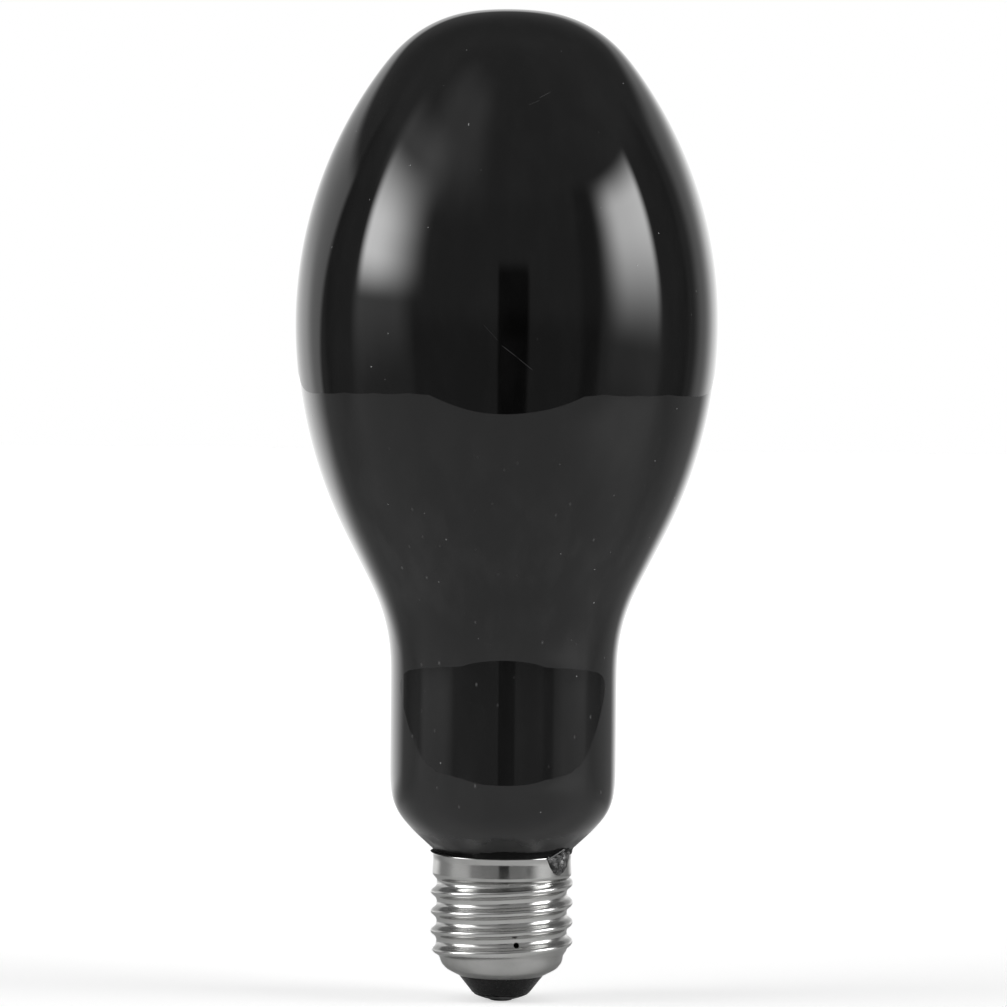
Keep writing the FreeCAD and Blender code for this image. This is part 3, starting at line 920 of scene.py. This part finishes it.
def studio_floor():
    """Pale table top with a rounded front. The lens sees it white, and it keeps the lamp's shadow. In
    reflections it has painted shade beside the lamp, and painted light behind it and at the front right.
    """
    body = bmesh.new()
    rows = []
    for y, half in TABLE_EDGE:
        rows.append([body.verts.new((half*share, y, 0)) for share in (-1.0, -0.35, 0.35, 1.0)])
    for near, far in zip(rows, rows[1:]):
        for step in range(3):
            body.faces.new((near[step], near[step + 1], far[step + 1], far[step]))
    floor = new_piece("studio_floor", body)
    if floor.data.polygons[0].normal.z < 0:
        floor.data.flip_normals()
    material, tree, shader, place = finish("pale_floor")
    path = put(tree, "ShaderNodeLightPath")
    x, y, _ = put(tree, "ShaderNodeSeparateXYZ", {0: place}).outputs
    slant = sums(tree, "DIVIDE", x, sums(tree, "MAXIMUM", y, 0.03))
    behind = sums(tree, "MULTIPLY", ramp(tree, y, 0.04, 0.3), band(tree, slant, -1.9, -0.6, 0.35, 0.95))
    away = put(tree, "ShaderNodeVectorMath", {0: place}, operation="LENGTH").outputs["Value"]
    beside = sums(tree, "MULTIPLY", ramp(tree, y, -0.03, 0.1), sums(tree, "SUBTRACT", 1.0, behind))
    beside = sums(tree, "MULTIPLY", beside, ramp(tree, away, 0.07, 0.15))
    shade = sums(tree, "MULTIPLY", sums(tree, "MULTIPLY", beside, path.outputs["Is Glossy Ray"]), 0.42)
    mottle = grain(tree, place, 60.0, 4.0)
    pale = blend(tree, mottle, grey(0.82), grey(0.86))
    tree.links.new(blend(tree, shade, pale, grey(0.0)), shader.inputs["Base Color"])
    shader.inputs["Roughness"].default_value = 0.9
    shader.inputs["Specular IOR Level"].default_value = 0.0
    # Seen in reflections only: a painted glow behind the lamp and a faint painted pool of light at the front
    # right.
    at_right = band(tree, x, 0.08, 0.26, 0.36, 0.55)
    lit = sums(tree, "MULTIPLY", at_right, band(tree, y, -0.26, -0.16, -0.1, 0.03))
    glow = sums(tree, "MULTIPLY_ADD", behind, 1.25, sums(tree, "MULTIPLY_ADD", lit, 0.2, 0.05))
    glow = sums(tree, "MULTIPLY", glow, path.outputs["Is Glossy Ray"])
    glow = sums(tree, "MULTIPLY_ADD", path.outputs["Is Camera Ray"], 0.5, glow)
    shader.inputs["Emission Color"].default_value = grey(1.0)
    tree.links.new(glow, shader.inputs["Emission Strength"])
    floor.data.materials.append(material)


def studio_world():
    """A dim room with a soft window at each side and a white backdrop. The lens sees plain white."""
    world = bpy.data.worlds.new("studio")
    world.use_nodes = True
    bpy.context.scene.world = world
    tree = world.node_tree
    tree.nodes.clear()
    way = put(tree, "ShaderNodeTexCoord").outputs["Generated"]
    axes = put(tree, "ShaderNodeSeparateXYZ", {0: way})
    ahead = sums(tree, "MULTIPLY", axes.outputs[1], -1.0)
    turn = sums(tree, "MULTIPLY", sums(tree, "ARCTAN2", axes.outputs[0], ahead), 180/math.pi)
    tilt = sums(tree, "MULTIPLY", sums(tree, "ARCSINE", axes.outputs[2]), 180/math.pi)
    aside = sums(tree, "ABSOLUTE", turn)
    leftward = sums(tree, "MULTIPLY", turn, -1.0)
    light = ramp(tree, axes.outputs[1], 0.0, 0.65, 0.29, 0.14)

    def under(start, end):
        """One in the lower part of the room, easing out between two heights."""
        return ramp(tree, tilt, start, end, 1.0, 0.0)

    def shine(strength, bearing, height):
        """Adds a soft patch of light, or of shade, to the room."""
        nonlocal light
        light = sums(tree, "MULTIPLY_ADD", sums(tree, "MULTIPLY", bearing, height), strength, light)

    for strength, bearings, heights in WINDOW_LIGHT:
        shine(strength, band(tree, turn, *bearings), band(tree, tilt, *heights))
    # Shade at the sides and in front, and the dark gap
    front = band(tree, turn, -56.0, -50.0, 48.0, 54.0)
    gap = band(tree, turn, -6.0, -4.0, 10.0, 13.0)
    shine(-0.08, band(tree, aside, 90.0, 96.0, 114.0, 120.0), under(28.0, 40.0))
    shine(-0.08, band(tree, turn, 38.0, 44.0, 50.0, 54.0), under(32.0, 38.0))
    shine(-0.03, front, under(30.0, 38.0))
    shine(-0.07, front, under(-4.0, 6.0))
    shine(-0.16, gap, under(-6.0, 2.0))
    shine(-0.21, gap, band(tree, tilt, -6.0, 2.0, 13.0, 18.0))
    # Backdrop, whose left and right sides meet behind the lamp
    rear = ramp(tree, turn, 160.0, 179.0)
    slanted = ramp(tree, sums(tree, "MULTIPLY_ADD", tilt, 0.3, leftward), 119.0, 124.0)
    shine(0.62, sums(tree, "MAXIMUM", slanted, rear), under(19.0, 25.0))
    shine(0.5, sums(tree, "MAXIMUM", ramp(tree, leftward, 130.0, 142.0), rear), under(0.0, 14.0))
    shine(0.4, band(tree, turn, 121.0, 133.0, 160.0, 179.0), under(22.0, 31.0))
    shine(1.1, band(tree, turn, 134.0, 154.0, 160.0, 179.0), under(4.0, 21.0))
    seen = put(tree, "ShaderNodeBackground", {"Color": grey(1.0), "Strength": 1.0})
    felt = put(tree, "ShaderNodeBackground", {"Color": grey(1.0), "Strength": light})
    path = put(tree, "ShaderNodeLightPath")
    sockets = {0: path.outputs["Is Camera Ray"], 1: felt.outputs[0], 2: seen.outputs[0]}
    mixed = put(tree, "ShaderNodeMixShader", sockets)
    put(tree, "ShaderNodeOutputWorld", {"Surface": mixed.outputs[0]})


def set_camera():
    """Camera in front of the lamp, looking slightly down, framed and rolled as the photograph is."""
    frame_size = IMAGE_SIZE/PIXELS_PER_METRE
    camera = bpy.data.cameras.new("front_camera")
    camera.sensor_width = SENSOR_WIDTH
    camera.lens = SENSOR_WIDTH*CAMERA_DISTANCE/frame_size
    camera.clip_end = 50.0
    holder = bpy.data.objects.new("front_camera", camera)
    bpy.context.scene.collection.objects.link(holder)
    back = CAMERA_DISTANCE*math.cos(CAMERA_PITCH)
    lift = CAMERA_DISTANCE*math.sin(CAMERA_PITCH)
    holder.location = (CAMERA_ASIDE, -back, CAMERA_AIM_HEIGHT + lift)
    holder.rotation_euler = (math.pi/2 - CAMERA_PITCH, CAMERA_ROLL, 0.0)
    bpy.context.scene.camera = holder


make_glass_bulb(black_glass())
make_cap_shell(plated_shell())
make_insulator(insulator_glass())
make_cement(black_cement())
make_contact(contact_metal(), solder("tip_solder", 0.008, 0.03))
make_drip(solder("drip_solder", 0.05, 0.2))
wire = lead_wire()
for name in ("centre_lead", "side_lead"):
    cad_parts[name].data.materials.clear()
    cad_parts[name].data.materials.append(wire)

studio_floor()
studio_world()
set_camera()
bpy.context.scene.view_settings.view_transform = "Standard"
